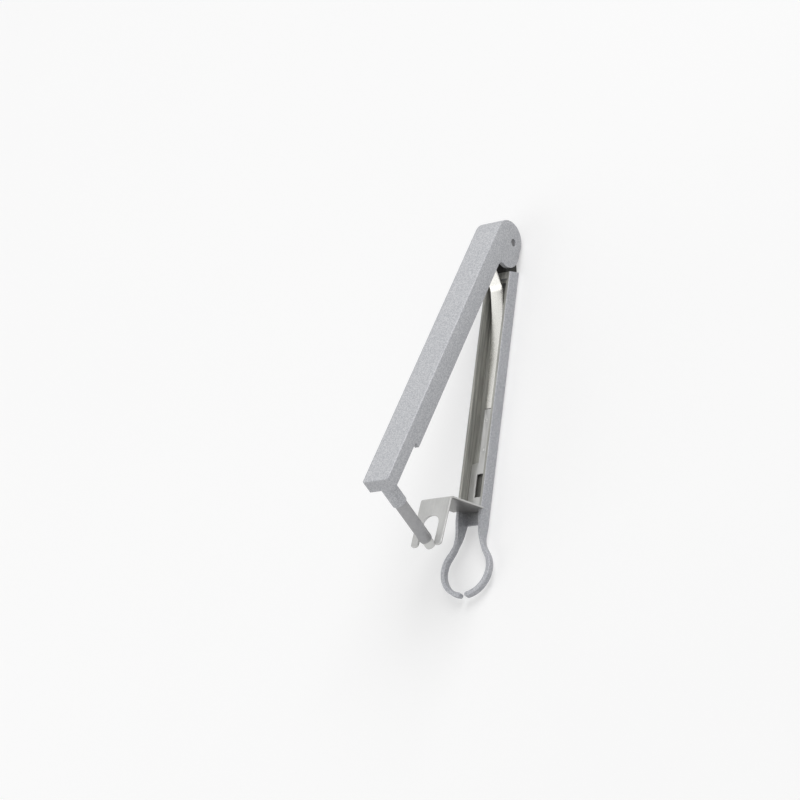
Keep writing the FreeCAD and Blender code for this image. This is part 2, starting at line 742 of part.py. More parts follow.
# Stripper: one bent sheet with a shank in the channel, an upright and a forked plate.
stripper = new_body("stripper")
path = new_sketch(stripper, "stripper_path", "XZ_Plane")
strip_path(path, ["shank_length", "upright_length", "plate_length"],
           ["bend_radius", "bend_radius"], ["0", "upright_angle", "closed_angle"])
section = strip_section(stripper, "stripper_section", "plate_half", "sheet_thick")
sweep(stripper, "stripper_strip", path, section)
sketch = new_sketch(stripper, "neck_sides", "XY_Plane", "strip_low_z")
for side in ("", "-"):
    loop(sketch, [
        ("back_x", side + "neck_half"), ("past_foot_x", side + "neck_half"),
        ("past_foot_x", side + "wide_y"), ("back_x", side + "wide_y"),
    ])
pocket(stripper, sketch, "neck", "side_cut", up=True)
sketch = new_sketch(stripper, "shank_sides", "XY_Plane")
for side in ("", "-"):
    loop(sketch, [
        ("back_x", side + "shank_half"), ("neck_x", side + "shank_half"),
        ("neck_full_x", side + "neck_half"), ("neck_full_x", side + "wide_y"),
        ("back_x", side + "wide_y"),
    ])
pocket(stripper, sketch, "shank")
sketch = new_sketch(stripper, "window_outline", "XY_Plane")
loop(sketch, [
    ("window_near_x", "-window_half"), ("window_far_x", "-window_half"),
    ("window_far_x", "window_half"), ("window_near_x", "window_half"),
])
pocket(stripper, sketch, "window")
sketch = new_sketch(stripper, "slot_outline", "XY_Plane")
loop(sketch, [
    ("past_foot_x", "slot_half"), ("slot_center_x", "slot_half"), ("slot_back_x", "0"),
    ("slot_center_x", "-slot_half"), ("past_foot_x", "-slot_half"),
], {1: ("slot_half", 1), 2: ("slot_half", 1)})
pocket(stripper, sketch, "slot")
sketch = new_sketch(stripper, "stripper_hole_outlines", "XY_Plane")
disc(sketch, "strip_rivet_a", "0", "rivet_hole")
disc(sketch, "strip_rivet_b", "0", "rivet_hole")
pocket(stripper, sketch, "stripper_holes")


def prong_corner(edge):
    spot = edge_middle(edge)
    short = abs(edge.Length - size("sheet_thick")) < 0.02
    return short and spot.x > size("slot_center_x") + 1 and spot.z > size("corner_z") / 2


round_edges(stripper, "prong_ends", prong_corner, "prong_round")
place(stripper, "shank_start_x", "shank_mid")

# Two flush rivets hold both strips to the channel floor.
studs = []
for label, across in (("rivet_a", "rivet_first_x"), ("rivet_b", "rivet_second_x")):
    stud = doc.addObject("Part::Cylinder", label)
    stud.setExpression("Radius", "Sizes.rivet_radius")
    stud.setExpression("Height", "Sizes.rivet_length")
    stud.setExpression("Placement.Base.x", bound(across))
    studs.append(stud)
rivets = doc.addObject("Part::Compound", "strip_rivets")
rivets.Label = "strip_rivets"
rivets.Links = studs
place(rivets, "0", "0")

doc.recompute()
for item in doc.Objects:
    if "Invalid" in item.State or "Error" in item.State:
        raise RuntimeError("%s is %s" % (item.Label, item.State))
for node in (arm, lever, hinge, plunger, spring, stripper, rivets):
    shape = node.Shape
    if shape.isNull() or not shape.isValid() or not shape.Solids:
        raise RuntimeError(node.Label + " has no valid solid")
    print(node.Label, len(shape.Solids), round(shape.Volume, 1), shape.BoundBox)
    shape.exportStep("parts/%s.step" % node.Label)
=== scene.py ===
"""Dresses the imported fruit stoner: two castings, a sprung strip, a bent stripper and a plunger."""
import json
import logging
import math
from dataclasses import dataclass, field
from enum import Enum

import bmesh
import bpy
from mathutils import Matrix, Vector


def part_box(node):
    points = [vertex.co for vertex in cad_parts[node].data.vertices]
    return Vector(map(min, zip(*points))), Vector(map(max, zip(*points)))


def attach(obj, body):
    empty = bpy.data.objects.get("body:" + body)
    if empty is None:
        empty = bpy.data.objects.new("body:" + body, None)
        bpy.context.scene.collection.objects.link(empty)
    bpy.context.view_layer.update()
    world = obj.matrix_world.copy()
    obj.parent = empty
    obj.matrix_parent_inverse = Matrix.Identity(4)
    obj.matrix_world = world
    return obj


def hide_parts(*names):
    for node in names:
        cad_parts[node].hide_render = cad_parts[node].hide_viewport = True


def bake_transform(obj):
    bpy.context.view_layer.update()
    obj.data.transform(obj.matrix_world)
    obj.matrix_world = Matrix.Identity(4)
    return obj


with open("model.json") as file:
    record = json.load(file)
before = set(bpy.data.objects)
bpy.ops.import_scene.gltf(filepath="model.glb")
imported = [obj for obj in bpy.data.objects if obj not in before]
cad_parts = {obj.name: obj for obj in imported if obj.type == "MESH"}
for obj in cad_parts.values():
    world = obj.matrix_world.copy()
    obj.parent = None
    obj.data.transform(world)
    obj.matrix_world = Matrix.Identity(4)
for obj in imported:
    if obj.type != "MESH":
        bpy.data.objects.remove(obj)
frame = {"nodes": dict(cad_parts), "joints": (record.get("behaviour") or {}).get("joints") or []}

LOG = logging.getLogger("stoner")
MM = 0.001
LOWER_BODY = "lower_body"
LEVER_BODY = "lever_body"
HINGE = Vector(frame["joints"][0]["pos_m"])
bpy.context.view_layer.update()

# Sizes that several pieces share, in degrees and millimetres.
OPEN_DEG = 21.0
PIVOT_HEIGHT = HINGE.z / MM
PLUNGER_X = 130.3
RIVET_PLACES = (72.0, 84.0)
RIVET_HOLE = 0.71
HOLE_POINTS = 24

# Places of the factor, the two colours and the result on a Mix node.
MIX_FACTOR, MIX_FIRST, MIX_SECOND, MIX_RESULT = 0, 6, 7, 2

Colour = tuple[float, float, float, float]
Outline = list[tuple[float, float]]
Corner = tuple[float, float, float]


def lever_point(along: float, height: float) -> Vector:
    """Point in the middle plane of the opened lever.

    Args:
        along: Millimetres along the lever from the hinge.
        height: Millimetres above the hinge, square to the lever.

    Returns:
        The point in metres.
    """
    lean = math.radians(OPEN_DEG)
    return HINGE + Vector((along * math.cos(lean) - height * math.sin(lean), 0.0,
                           along * math.sin(lean) + height * math.cos(lean))) * MM


def at_hinge(along: float, height: float) -> Vector:
    """Point in metres from millimetres along the arms and above the rest face."""
    return Vector((HINGE.x + along * MM, 0.0, height * MM))


class Shade:
    """One output socket of a shader tree; arithmetic on it adds Math nodes."""

    def __init__(self, tree: "ShaderTree", socket: bpy.types.NodeSocket) -> None:
        """Keep the tree and the socket."""
        self.tree = tree
        self.socket = socket

    def _math(self, operation: str, first: object, second: object) -> "Shade":
        """Add one Math node and return its output."""
        return self.tree.node("ShaderNodeMath", {"operation": operation}, {0: first, 1: second})

    def __add__(self, other: object) -> "Shade":
        """Sum."""
        return self._math("ADD", self, other)

    def __radd__(self, other: object) -> "Shade":
        """Reflected sum."""
        return self._math("ADD", other, self)

    def __sub__(self, other: object) -> "Shade":
        """Difference."""
        return self._math("SUBTRACT", self, other)

    def __rsub__(self, other: object) -> "Shade":
        """Reflected difference."""
        return self._math("SUBTRACT", other, self)

    def __mul__(self, other: object) -> "Shade":
        """Product."""
        return self._math("MULTIPLY", self, other)

    def __rmul__(self, other: object) -> "Shade":
        """Reflected product."""
        return self._math("MULTIPLY", other, self)

    def between(self, low: float, high: float) -> "Shade":
        """Smooth step from 0 at low to 1 at high."""
        settings = {"interpolation_type": "SMOOTHSTEP"}
        return self.tree.node("ShaderNodeMapRange", settings,
                              {"Value": self, "From Min": low, "From Max": high})


class ShaderTree:
    """Node tree of one new material or world, built through one method."""

    def __init__(self, owner: bpy.types.ID, shader: str, output: str) -> None:
        """Clear the owner's tree and join its main shader to its output.

        Args:
            owner: New material or world.
            shader: Blender's type name of the main shader.
            output: Blender's type name of the output node.
        """
        owner.use_nodes = True
        self.owner = owner
        self.nodes = owner.node_tree.nodes
        self.links = owner.node_tree.links
        self.nodes.clear()
        self.surface = self.nodes.new(shader)
        self.output = self.nodes.new(output)
        self.links.new(self.surface.outputs[0], self.output.inputs["Surface"])

    @classmethod
    def of_material(cls, name: str) -> "ShaderTree":
        """Tree of a new material with a principled surface."""
        owner = bpy.data.materials.new(name)
        return cls(owner, "ShaderNodeBsdfPrincipled", "ShaderNodeOutputMaterial")

    def put(self, socket: bpy.types.NodeSocket, value: object) -> None:
        """Link a Shade to a socket, or set the socket to a plain value.

        Args:
            socket: The input to feed.
            value: A Shade, a number or a tuple of numbers.
        """
        if isinstance(value, Shade):
            self.links.new(value.socket, socket)
        else:
            socket.default_value = value

    def node(self, kind: str, settings: dict | None = None, inputs: dict | None = None,
             output: int | str = 0) -> Shade:
        """Add a node, set it up and feed it.

        Args:
            kind: Blender's type name of the node.
            settings: Properties of the node, set before its sockets.
            inputs: Values or links by socket name or number.
            output: Name or number of the socket to return.

        Returns:
            The chosen output.
        """
        made = self.nodes.new(kind)
        for key, value in (settings or {}).items():
            setattr(made, key, value)
        for key, value in (inputs or {}).items():
            self.put(made.inputs[key], value)
        return Shade(self, made.outputs[output])

    def feed(self, values: dict[str, object]) -> None:
        """Feed the main shader's sockets by their names."""
        for name, value in values.items():
            self.put(self.surface.inputs[name], value)

    def place(self) -> Shade:
        """Place on the object, in metres."""
        return self.node("ShaderNodeTexCoord", output="Object")

    def attribute(self, name: str, output: str = "Fac") -> Shade:
        """Attribute of the piece, as a number or as a vector."""
        return self.node("ShaderNodeAttribute", {"attribute_name": name}, output=output)

    def part(self, place: Shade, axis: str) -> Shade:
        """X, Y or Z part of a place."""
        return self.node("ShaderNodeSeparateXYZ", {}, {"Vector": place}, axis)

    def stretched(self, place: Shade, scale: tuple[float, float, float]) -> Shade:
        """Place scaled along each axis, for a noise of size 1."""
        return self.node("ShaderNodeMapping", {}, {"Vector": place, "Scale": scale})

    def noise(self, place: Shade, scale: float, detail: float = 2.0, rough: float = 0.5) -> Shade:
        """Noise value from 0 to 1 with features of about 1 / scale metres."""
        return self.node("ShaderNodeTexNoise", {}, {
            "Vector": place, "Scale": scale, "Detail": detail, "Roughness": rough})

    def mix(self, factor: object, first: object, second: object) -> Shade:
        """Blend of two colours."""
        sockets = {MIX_FACTOR: factor, MIX_FIRST: first, MIX_SECOND: second}
        return self.node("ShaderNodeMix", {"data_type": "RGBA"}, sockets, MIX_RESULT)

    def bump(self, height: Shade, depth: float, strength: float) -> None:
        """Feed the surface normal from a height field that is depth metres deep."""
        sockets = {"Height": height, "Distance": depth, "Strength": strength}
        self.feed({"Normal": self.node("ShaderNodeBump", {}, sockets)})


def colour(red: float, green: float, blue: float) -> Colour:
    """Opaque colour from three linear parts."""
    return (red, green, blue, 1.0)


@dataclass(frozen=True)
class CastSkin:
    """Tumbled die-cast aluminium: a matte skin with a fine sandy grain.

    The channel's lining, marked by the attribute inside, gets painted shade between the two
    fades. Narrow gaps, marked by Casting.recess_mark, and the floor of the pit along the arm
    get a deeper painted shade; rounded rims, told by the attribute edge, get painted shade too.
    """

    name: str
    fade_in_mm: tuple[float, float]
    fade_out_mm: tuple[float, float]
    light: Colour = colour(0.63, 0.635, 0.65)
    dark: Colour = colour(0.42, 0.43, 0.455)
    # Colours of painted shade: on rounded rims, in the channel's lining, and in gaps and the pit.
    painted_rim_shade: Colour = colour(0.40, 0.405, 0.42)
    painted_channel_shade: Colour = colour(0.50, 0.497, 0.46)
    painted_gap_shade: Colour = colour(0.07, 0.07, 0.065)
    pit_mm: tuple[float, float] = (92.0, 105.0)
    pit_top_mm: float = 1.45
    pit_fade_mm: float = 0.1
    grain: float = 2100.0
    mottle: float = 260.0
    drift: float = 45.0
    depth: float = 0.00004
    roughness: float = 0.56
    metallic: float = 0.55

    def material(self) -> bpy.types.Material:
        """Build the material.

        Returns:
            The new material.
        """
        tree = ShaderTree.of_material(self.name)
        place = tree.place()
        along = tree.part(place, "X")
        grain = tree.noise(place, self.grain, 2.0, 0.6)
        specks = tree.noise(place, self.grain * 0.5, 1.0, 0.5).between(0.40, 0.66)
        mottle = tree.noise(place, self.mottle, 3.0)
        drift = tree.noise(place, self.drift, 2.0)
        tone = 0.7 * grain.between(0.39, 0.61) + 0.15 * specks + 0.1 * mottle + 0.15 * drift
        base = tree.mix(tone.between(0.0, 1.1), self.dark, self.light)
        # Painted darker shade on rounded rims, by the attribute edge.
        skin = tree.mix(tree.attribute("edge") * (0.3 + 0.3 * mottle), base, self.painted_rim_shade)
        # Painted shade in the channel's lining, with streaks, between the two fades.
        inside = tree.attribute("inside")
        begin = along.between(*(HINGE.x + spot * MM for spot in self.fade_in_mm))
        end = along.between(*(HINGE.x + spot * MM for spot in self.fade_out_mm))
        lining = inside.between(0.0, 1.0) * begin * (1.0 - end)
        streak = tree.noise(tree.stretched(place, (40.0, 900.0, 900.0)), 1.0, 3.0)
        painted_channel_shade = tree.mix(streak.between(0.35, 0.65) * 0.4, self.painted_channel_shade, self.painted_gap_shade)
        shaded = tree.mix(lining * (0.86 + 0.14 * mottle), skin, painted_channel_shade)
        # Deeper painted shade on the pit's floor under the stripper's window and in narrow recesses.
        near, far = (HINGE.x + spot * MM for spot in self.pit_mm)
        top, fade = self.pit_top_mm * MM, self.pit_fade_mm * MM
        low = 1.0 - tree.part(place, "Z").between(top - fade, top + fade)
        pit = lining * low * along.between(near, near + MM) * (1.0 - along.between(far - MM, far))
        deep_painted_shade = pit * 0.75 + inside.between(1.0, Casting.recess_mark)
        tree.feed({"Base Color": tree.mix(deep_painted_shade, shaded, self.painted_gap_shade), "Metallic": self.metallic,
                   "Roughness": self.roughness + 0.1 * grain + 0.12 * lining})
        tree.bump(0.6 * grain + 0.4 * specks + 1.2 * mottle, self.depth, 0.8)
        return tree.owner


@dataclass(frozen=True)
class StripSteel:
    """Rolled steel strip, brushed along its length; grain follows the flat sheet.

    The attribute flat gives the place on the flat sheet: along, across and through it. The start
    gets a painted shadow, and the far side, told by half the thickness in half_mm, can get a
    painted dark reflection.
    """

    name: str
    light: Colour
    dark: Colour
    roughness: float
    half_mm: float
    painted_far_reflection: Colour | None = None
    scratches: float = 0.25
    metallic: float = 0.6
    start_mm: float = 0.5
    start_painted_shadow: Colour = colour(0.10, 0.10, 0.095)
    depth: float = 0.000012

    def material(self) -> bpy.types.Material:
        """Build the material.

        Returns:
            The new material.
        """
        tree = ShaderTree.of_material(self.name)
        flat = tree.attribute("flat", "Vector")
        brush = tree.noise(tree.stretched(flat, (40.0, 5200.0, 1.0)), 1.0, 3.0, 0.65)
        cloud = tree.noise(flat, 160.0, 3.0)
        spots = tree.noise(flat, 900.0, 2.0)
        tone = 0.55 * brush + 0.35 * cloud + 0.1 * spots
        base = tree.mix(tone.between(0.3, 0.7), self.dark, self.light)
        near = tree.mix(tree.attribute("edge") * 0.3, base, self.light)
        # Painted shadow across the strip's cut start.
        start = 1.0 - tree.part(flat, "X").between(0.5 * self.start_mm * MM, self.start_mm * MM)
        shown = tree.mix(start, near, self.start_painted_shadow)
        # Painted dark reflection on the sheet's far side.
        if self.painted_far_reflection is not None:
            through = tree.part(flat, "Z")
            far = 1.0 - through.between(-0.95 * self.half_mm * MM, -0.4 * self.half_mm * MM)
            shown = tree.mix(far * (0.9 + 0.1 * cloud), shown, self.painted_far_reflection)
        rough = self.roughness + self.scratches * 0.4 * (brush - 0.5) + 0.08 * (cloud - 0.5)
        tree.feed({"Base Color": shown, "Metallic": self.metallic, "Roughness": rough})
        tree.bump(brush, self.depth, self.scratches)
        return tree.owner


@dataclass(frozen=True)
class TurnedSteel:
    """Turned rod with faint tool marks round its axis; its end can get a painted highlight."""

    name: str
    light: Colour
    dark: Colour
    roughness: float
    painted_highlight: Colour | None = None
    painted_highlight_mm: tuple[float, float] = (0.0, 0.0)
    groove: float = 4200.0
    metallic: float = 0.9
    depth: float = 0.00002

    def material(self) -> bpy.types.Material:
        """Build the material.

        Returns:
            The new material.
        """
        tree = ShaderTree.of_material(self.name)
        flat = tree.attribute("flat", "Vector")
        marks = tree.noise(tree.stretched(flat, (self.groove, 90.0, 1.0)), 1.0, 2.0, 0.6)
        cloud = tree.noise(flat, 300.0, 3.0)
        grain = tree.noise(tree.place(), 1500.0, 2.0)
        tone = 0.4 * marks + 0.3 * cloud + 0.3 * grain
        base = tree.mix(tone.between(0.32, 0.68), self.dark, self.light)
        shown = tree.mix(tree.attribute("edge") * 0.4, base, self.light)
        # Painted highlight near the rod's end.
        if self.painted_highlight is not None:
            tip_highlight = tree.part(flat, "X").between(*(spot * MM for spot in self.painted_highlight_mm))
            shown = tree.mix(tip_highlight, shown, self.painted_highlight)
        tree.feed({"Base Color": shown, "Metallic": self.metallic,
                   "Roughness": self.roughness + 0.15 * (marks - 0.5)})
        tree.bump(marks + 0.6 * grain, self.depth, 0.4)
        return tree.owner


@dataclass(frozen=True)
class FloorPaint:
    """Plain pale floor that shows nearly white to the camera and keeps soft shadows."""

    name: str = "floor_paint"
    tint: Colour = colour(0.61, 0.61, 0.61)
    cloud: Colour = colour(0.63, 0.63, 0.63)
    lift: float = 0.41

    def material(self) -> bpy.types.Material:
        """Build the material.

        Returns:
            The new material.
        """
        tree = ShaderTree.of_material(self.name)
        paint = tree.mix(tree.noise(tree.place(), 6.0, 2.0), self.tint, self.cloud)
        tree.feed({"Base Color": paint, "Roughness": 0.9, "Specular IOR Level": 0.1})
        seen = tree.node("ShaderNodeLightPath", output="Is Camera Ray")
        glossy = tree.node("ShaderNodeLightPath", output="Is Glossy Ray")
        glow = tree.node("ShaderNodeEmission", {}, {"Strength": self.lift * (seen + glossy)})
        surface = Shade(tree, tree.surface.outputs["BSDF"])
        both = tree.node("ShaderNodeAddShader", {}, {0: surface, 1: glow})
        tree.put(tree.output.inputs["Surface"], both)
        return tree.owner


class Finish(Enum):
    """The finishes of the object, each named after the record's slot and what it covers."""

    CAST = "cast_aluminium"
    SPRING = "spring_steel"
    SHEET = "sheet_steel"
    TURNED = "turned_steel"
    PIN = "turned_steel of the hinge pin"
    RIVET = "turned_steel of the rivets"

    @property
    def slot(self) -> str:
        """Slot of the record that the finish belongs to."""
        return self.value.split()[0]


def finish_materials() -> dict[Finish, bpy.types.Material]:
    """Build one material for each finish but the cast one, which the castings build.

    Returns:
        Materials by finish.
    """
    return {
        Finish.SPRING: StripSteel(
            "spring_strip_steel", colour(0.86, 0.85, 0.81), colour(0.78, 0.77, 0.73),
            roughness=0.27, half_mm=0.3, scratches=0.2, metallic=0.85).material(),
        Finish.SHEET: StripSteel(
            "stripper_sheet_steel", colour(0.62, 0.62, 0.61), colour(0.50, 0.50, 0.49),
            roughness=0.34, half_mm=0.4, painted_far_reflection=colour(0.20, 0.195, 0.19),
            scratches=0.35).material(),
        Finish.TURNED: TurnedSteel(
            "turned_rod_steel", colour(0.38, 0.38, 0.385), colour(0.27, 0.27, 0.28),
            roughness=0.42, painted_highlight=colour(0.60, 0.60, 0.59), painted_highlight_mm=(19.4, 20.0)).material(),
        # The hinge pin's darker colours are painted shade for its ends, which sit recessed in the
        # ears.
        Finish.PIN: TurnedSteel(
            "hinge_pin_steel", colour(0.26, 0.26, 0.265), colour(0.16, 0.16, 0.165),
            roughness=0.5).material(),
        Finish.RIVET: TurnedSteel(
            "rivet_steel", colour(0.68, 0.68, 0.67), colour(0.60, 0.60, 0.59),
            roughness=0.36).material(),
    }


def link_object(name: str, mesh: bpy.types.Mesh) -> bpy.types.Object:
    """Put a mesh in the scene as an object at the origin.

    Args:
        name: Name of the new object.
        mesh: Its mesh.

    Returns:
        The object.
    """
    made = bpy.data.objects.new(name, mesh)
    bpy.context.scene.collection.objects.link(made)
    return made


def set_inputs(modifier: bpy.types.Modifier, values: dict[str, object]) -> None:
    """Set the inputs of a geometry node modifier.

    Args:
        modifier: The modifier, with its tree.
        values: Values by the names of the tree's inputs.
    """
    for entry in modifier.node_group.interface.items_tree:
        if entry.item_type == "SOCKET" and entry.name in values:
            modifier[entry.identifier] = values[entry.name]


def bake_modifiers(item: bpy.types.Object) -> None:
    """Replace the object's mesh by its evaluated one and drop the modifiers.

    Args:
        item: The piece.
    """
    graph = bpy.context.evaluated_depsgraph_get()
    result = bpy.data.meshes.new_from_object(item.evaluated_get(graph))
    item.modifiers.clear()
    item.data = result


def store_flat(mesh: bpy.types.Mesh, flat: list[float]) -> None:
    """Store each vertex's place on the flat piece, in metres, as the attribute flat."""
    layer = mesh.attributes.new("flat", "FLOAT_VECTOR", "POINT")
    layer.data.foreach_set("vector", flat)


def set_edge_turn(mesh: bpy.types.Mesh, reach: float = 0.55) -> None:
    """Store how strongly the surface turns outwards at each vertex as the attribute edge.

    Args:
        mesh: Mesh of the piece.
        reach: Turn in radians at which the value is 1.
    """
    work = bmesh.new()
    work.from_mesh(mesh)
    values = []
    for vertex in work.verts:
        turn = 0.0
        for edge in vertex.link_edges:
            if len(edge.link_faces) == 2 and edge.is_convex:
                turn = max(turn, edge.calc_face_angle(0.0))
        values.append(min(turn / reach, 1.0))
    work.free()
    layer = mesh.attributes.new("edge", "FLOAT", "POINT")
    layer.data.foreach_set("value", values)


def dress(item: bpy.types.Object, material: bpy.types.Material, sharp_deg: float = 32.0) -> None:
    """Shade a piece smooth, mark how sharply its edges turn and give it its one material.

    Args:
        item: The piece.
        material: Its material.
        sharp_deg: Edges that turn by more than this stay sharp.
    """
    mesh = item.data
    mesh.materials.clear()
    mesh.materials.append(material)
    for face in mesh.polygons:
        face.use_smooth = True
        face.material_index = 0
    mesh.set_sharp_from_angle(angle=math.radians(sharp_deg))
    set_edge_turn(mesh)


def seat(item: bpy.types.Object, body: str, node: str,
         span: tuple[Vector, Vector] | None = None) -> None:
    """Ride a finished piece on its body in place of its node, or bake it in place.

    Args:
        item: The piece.
        body: Body that carries it.
        node: Node that it stands for.
        span: Given for a piece that crosses the hinge; only whether it is given is used: then its
        transform is baked in and it rides on no body.
    """
    if span:
        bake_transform(item)
    else:
        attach(item, body)
    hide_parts(node)
    LOG.info("%s rides on %s: %d faces", item.name, body, len(item.data.polygons))


@dataclass
class Casting:
    """A die-cast arm: the node's own solid with softened edges.

    The thresholds for marking the lining are shares: of the channel's half width, or of how far a
    face looks in a direction.
    """

    node: str
    body: str
    skin: CastSkin
    wall_mm: float
    lean_deg: float
    opens: float
    lining_mm: tuple[float, float]
    round_mm: float = 0.28
    round_steps: int = 3
    sharp_deg: float = 28.0
    merge_mm: float = 0.004
    half_width_mm: float = 5.6
    slack_mm: float = 0.05
    floor_share: float = 0.8
    inward_share: float = 0.2
    floor_looks: float = 0.3
    top_looks: float = 0.9
    # Strength of painted shade on the far wall's top, and the mark of the deeper painted shade in
    # recesses.
    far_top: float = 0.6
    recess_mark: float = 2.0

    def build(self) -> bpy.types.Object:
        """Copy the solid, merge its loose faces, round its edges and dress it.

        Returns:
            The finished piece.
        """
        item = link_object(self.node + "_casting", self.merged_mesh())
        rounding = item.modifiers.new("rounding", "BEVEL")
        rounding.width = self.round_mm * MM
        rounding.segments = self.round_steps
        rounding.limit_method = "ANGLE"
        rounding.angle_limit = math.radians(self.sharp_deg)
        rounding.harden_normals = False
        bake_modifiers(item)
        dress(item, self.skin.material())
        self.mark_inside(item.data)
        seat(item, self.body, self.node)
        return item

    def mark_inside(self, mesh: bpy.types.Mesh) -> None:
        """Store as the attribute inside where the channel and its recesses get painted shade.

        Args:
            mesh: The finished mesh.
        """
        lean = math.radians(self.lean_deg)
        ahead = Vector((math.cos(lean), 0.0, math.sin(lean)))
        outlet = Vector((-math.sin(lean), 0.0, math.cos(lean))) * self.opens
        layer = mesh.attributes.new("inside", "FLOAT", "FACE")
        reach = (self.half_width_mm - self.wall_mm + self.slack_mm) * MM
        low, high = self.lining_mm
        for face in mesh.polygons:
            middle = face.center
            aside = abs(middle.y)
            along = (middle - HINGE).dot(ahead) / MM
            looks_out = face.normal.dot(outlet)
            inward = face.normal.y * middle.y < -self.inward_share * aside
            floor = looks_out > self.floor_looks and aside < self.floor_share * reach
            # Narrow recesses near the hinge get a deeper painted shade.
            recess = aside < reach and along < low and self.opens > 0.0
            lining = aside < reach and (inward or floor) and low < along < high
            # The far wall's top faces get a lighter painted shade.
            far_top = looks_out > self.top_looks and middle.y < -reach and self.opens > 0.0
            value = self.recess_mark if recess else float(lining)
            layer.data[face.index].value = max(value, self.far_top if far_top else 0.0)

    def merged_mesh(self) -> bpy.types.Mesh:
        """Merge the node's loose triangles and join those that lie in one plane.

        Returns:
            The new mesh.
        """
        work = bmesh.new()
        work.from_mesh(frame["nodes"][self.node].data)
        bmesh.ops.remove_doubles(work, verts=work.verts, dist=self.merge_mm * MM)
        bmesh.ops.dissolve_limit(work, angle_limit=math.radians(0.4), verts=work.verts,
                                 edges=work.edges, use_dissolve_boundaries=False)
        mesh = bpy.data.meshes.new(self.node + "_casting")
        work.to_mesh(mesh)
        work.free()
        return mesh


@dataclass
class Turned:
    """A turned piece: a profile of (along, radius) in millimetres spun round its axis."""

    name: str
    node: str
    body: str
    profile: Outline
    start: Vector
    axis: Vector
    finish: Finish
    sides: int = 64
    flat_lap: float = 0.02

    def build(self, materials: dict[Finish, bpy.types.Material]) -> bpy.types.Object:
        """Spin the profile, dress the piece and seat it.

        Args:
            materials: Materials by finish.

        Returns:
            The finished piece.
        """
        mesh = bpy.data.meshes.new(self.name)
        spots, faces, flat = self.rings()
        mesh.from_pydata(spots, [], faces)
        store_flat(mesh, flat)
        item = link_object(self.name, mesh)
        work = bmesh.new()
        work.from_mesh(mesh)
        bmesh.ops.recalc_face_normals(work, faces=work.faces)
        work.to_mesh(mesh)
        work.free()
        dress(item, materials[self.finish])
        seat(item, self.body, self.node)
        return item

    def rings(self) -> tuple[list, list, list]:
        """Spin the profile and close it by a point at each end.

        Returns:
            Points in metres, faces, and the points' places for the attribute flat.
        """
        side = self.axis.orthogonal().normalized()
        turn = Matrix.Rotation(2 * math.pi / self.sides, 3, self.axis)
        spots, faces, flat = [], [], []
        spots.append(self.start + self.axis * self.profile[0][0] * MM)
        flat.extend((self.profile[0][0] * MM, 0.0, 0.0))
        for along, radius in self.profile:
            spoke = side.copy()
            for count in range(self.sides):
                spots.append(self.start + (self.axis * along + spoke * radius) * MM)
                flat.extend((along * MM, self.flat_lap * count / self.sides, radius * MM))
                spoke = turn @ spoke
        last = len(spots)
        spots.append(self.start + self.axis * self.profile[-1][0] * MM)
        flat.extend((self.profile[-1][0] * MM, 0.0, 0.0))
        for count in range(self.sides):
            after = (count + 1) % self.sides
            faces.append((0, 1 + after, 1 + count))
            for ring in range(len(self.profile) - 1):
                low = 1 + ring * self.sides
                high = low + self.sides
                faces.append((low + count, low + after, high + after, high + count))
            top = 1 + (len(self.profile) - 1) * self.sides
            faces.append((last, top + count, top + after))
        return spots, faces, flat


def corner_arc(middle: tuple[float, float], radius: float, start_deg: float, end_deg: float,
               steps: int) -> Outline:
    """Points of an arc, in millimetres.

    Args:
        middle: Middle of the arc.
        radius: Its radius.
        start_deg: Direction from the middle to the first point.
        end_deg: Direction from the middle to the last point.
        steps: Number of straight pieces.

    Returns:
        The points.
    """
    points = []
    for count in range(steps + 1):
        turn = math.radians(start_deg + (end_deg - start_deg) * count / steps)
        points.append((middle[0] + radius * math.cos(turn), middle[1] + radius * math.sin(turn)))
    return points


def rivet_holes(start: float) -> list[Outline]:
    """Outlines of the rivet holes on a blank that starts at a place along the arms."""
    last = 360.0 / HOLE_POINTS
    return [corner_arc((abs(place - start), 0.0), RIVET_HOLE, 360.0, last, HOLE_POINTS - 1)
            for place in RIVET_PLACES]


def path_length(corners: list[Corner]) -> float:
    """Length in millimetres of a path whose corners are rounded by their radii.

    Args:
        corners: Along, height and bend radius of each corner.

    Returns:
        The length of the straights and the bends.
    """
    total = 0.0
    for (x_a, z_a, _), (x_b, z_b, _) in zip(corners, corners[1:]):
        total += math.hypot(x_b - x_a, z_b - z_a)
    for before, here, after in zip(corners, corners[1:], corners[2:]):
        first = Vector((here[0] - before[0], here[1] - before[1]))
        second = Vector((after[0] - here[0], after[1] - here[1]))
        turn = first.angle(second)
        total += here[2] * (turn - 2 * math.tan(turn / 2))
    return total


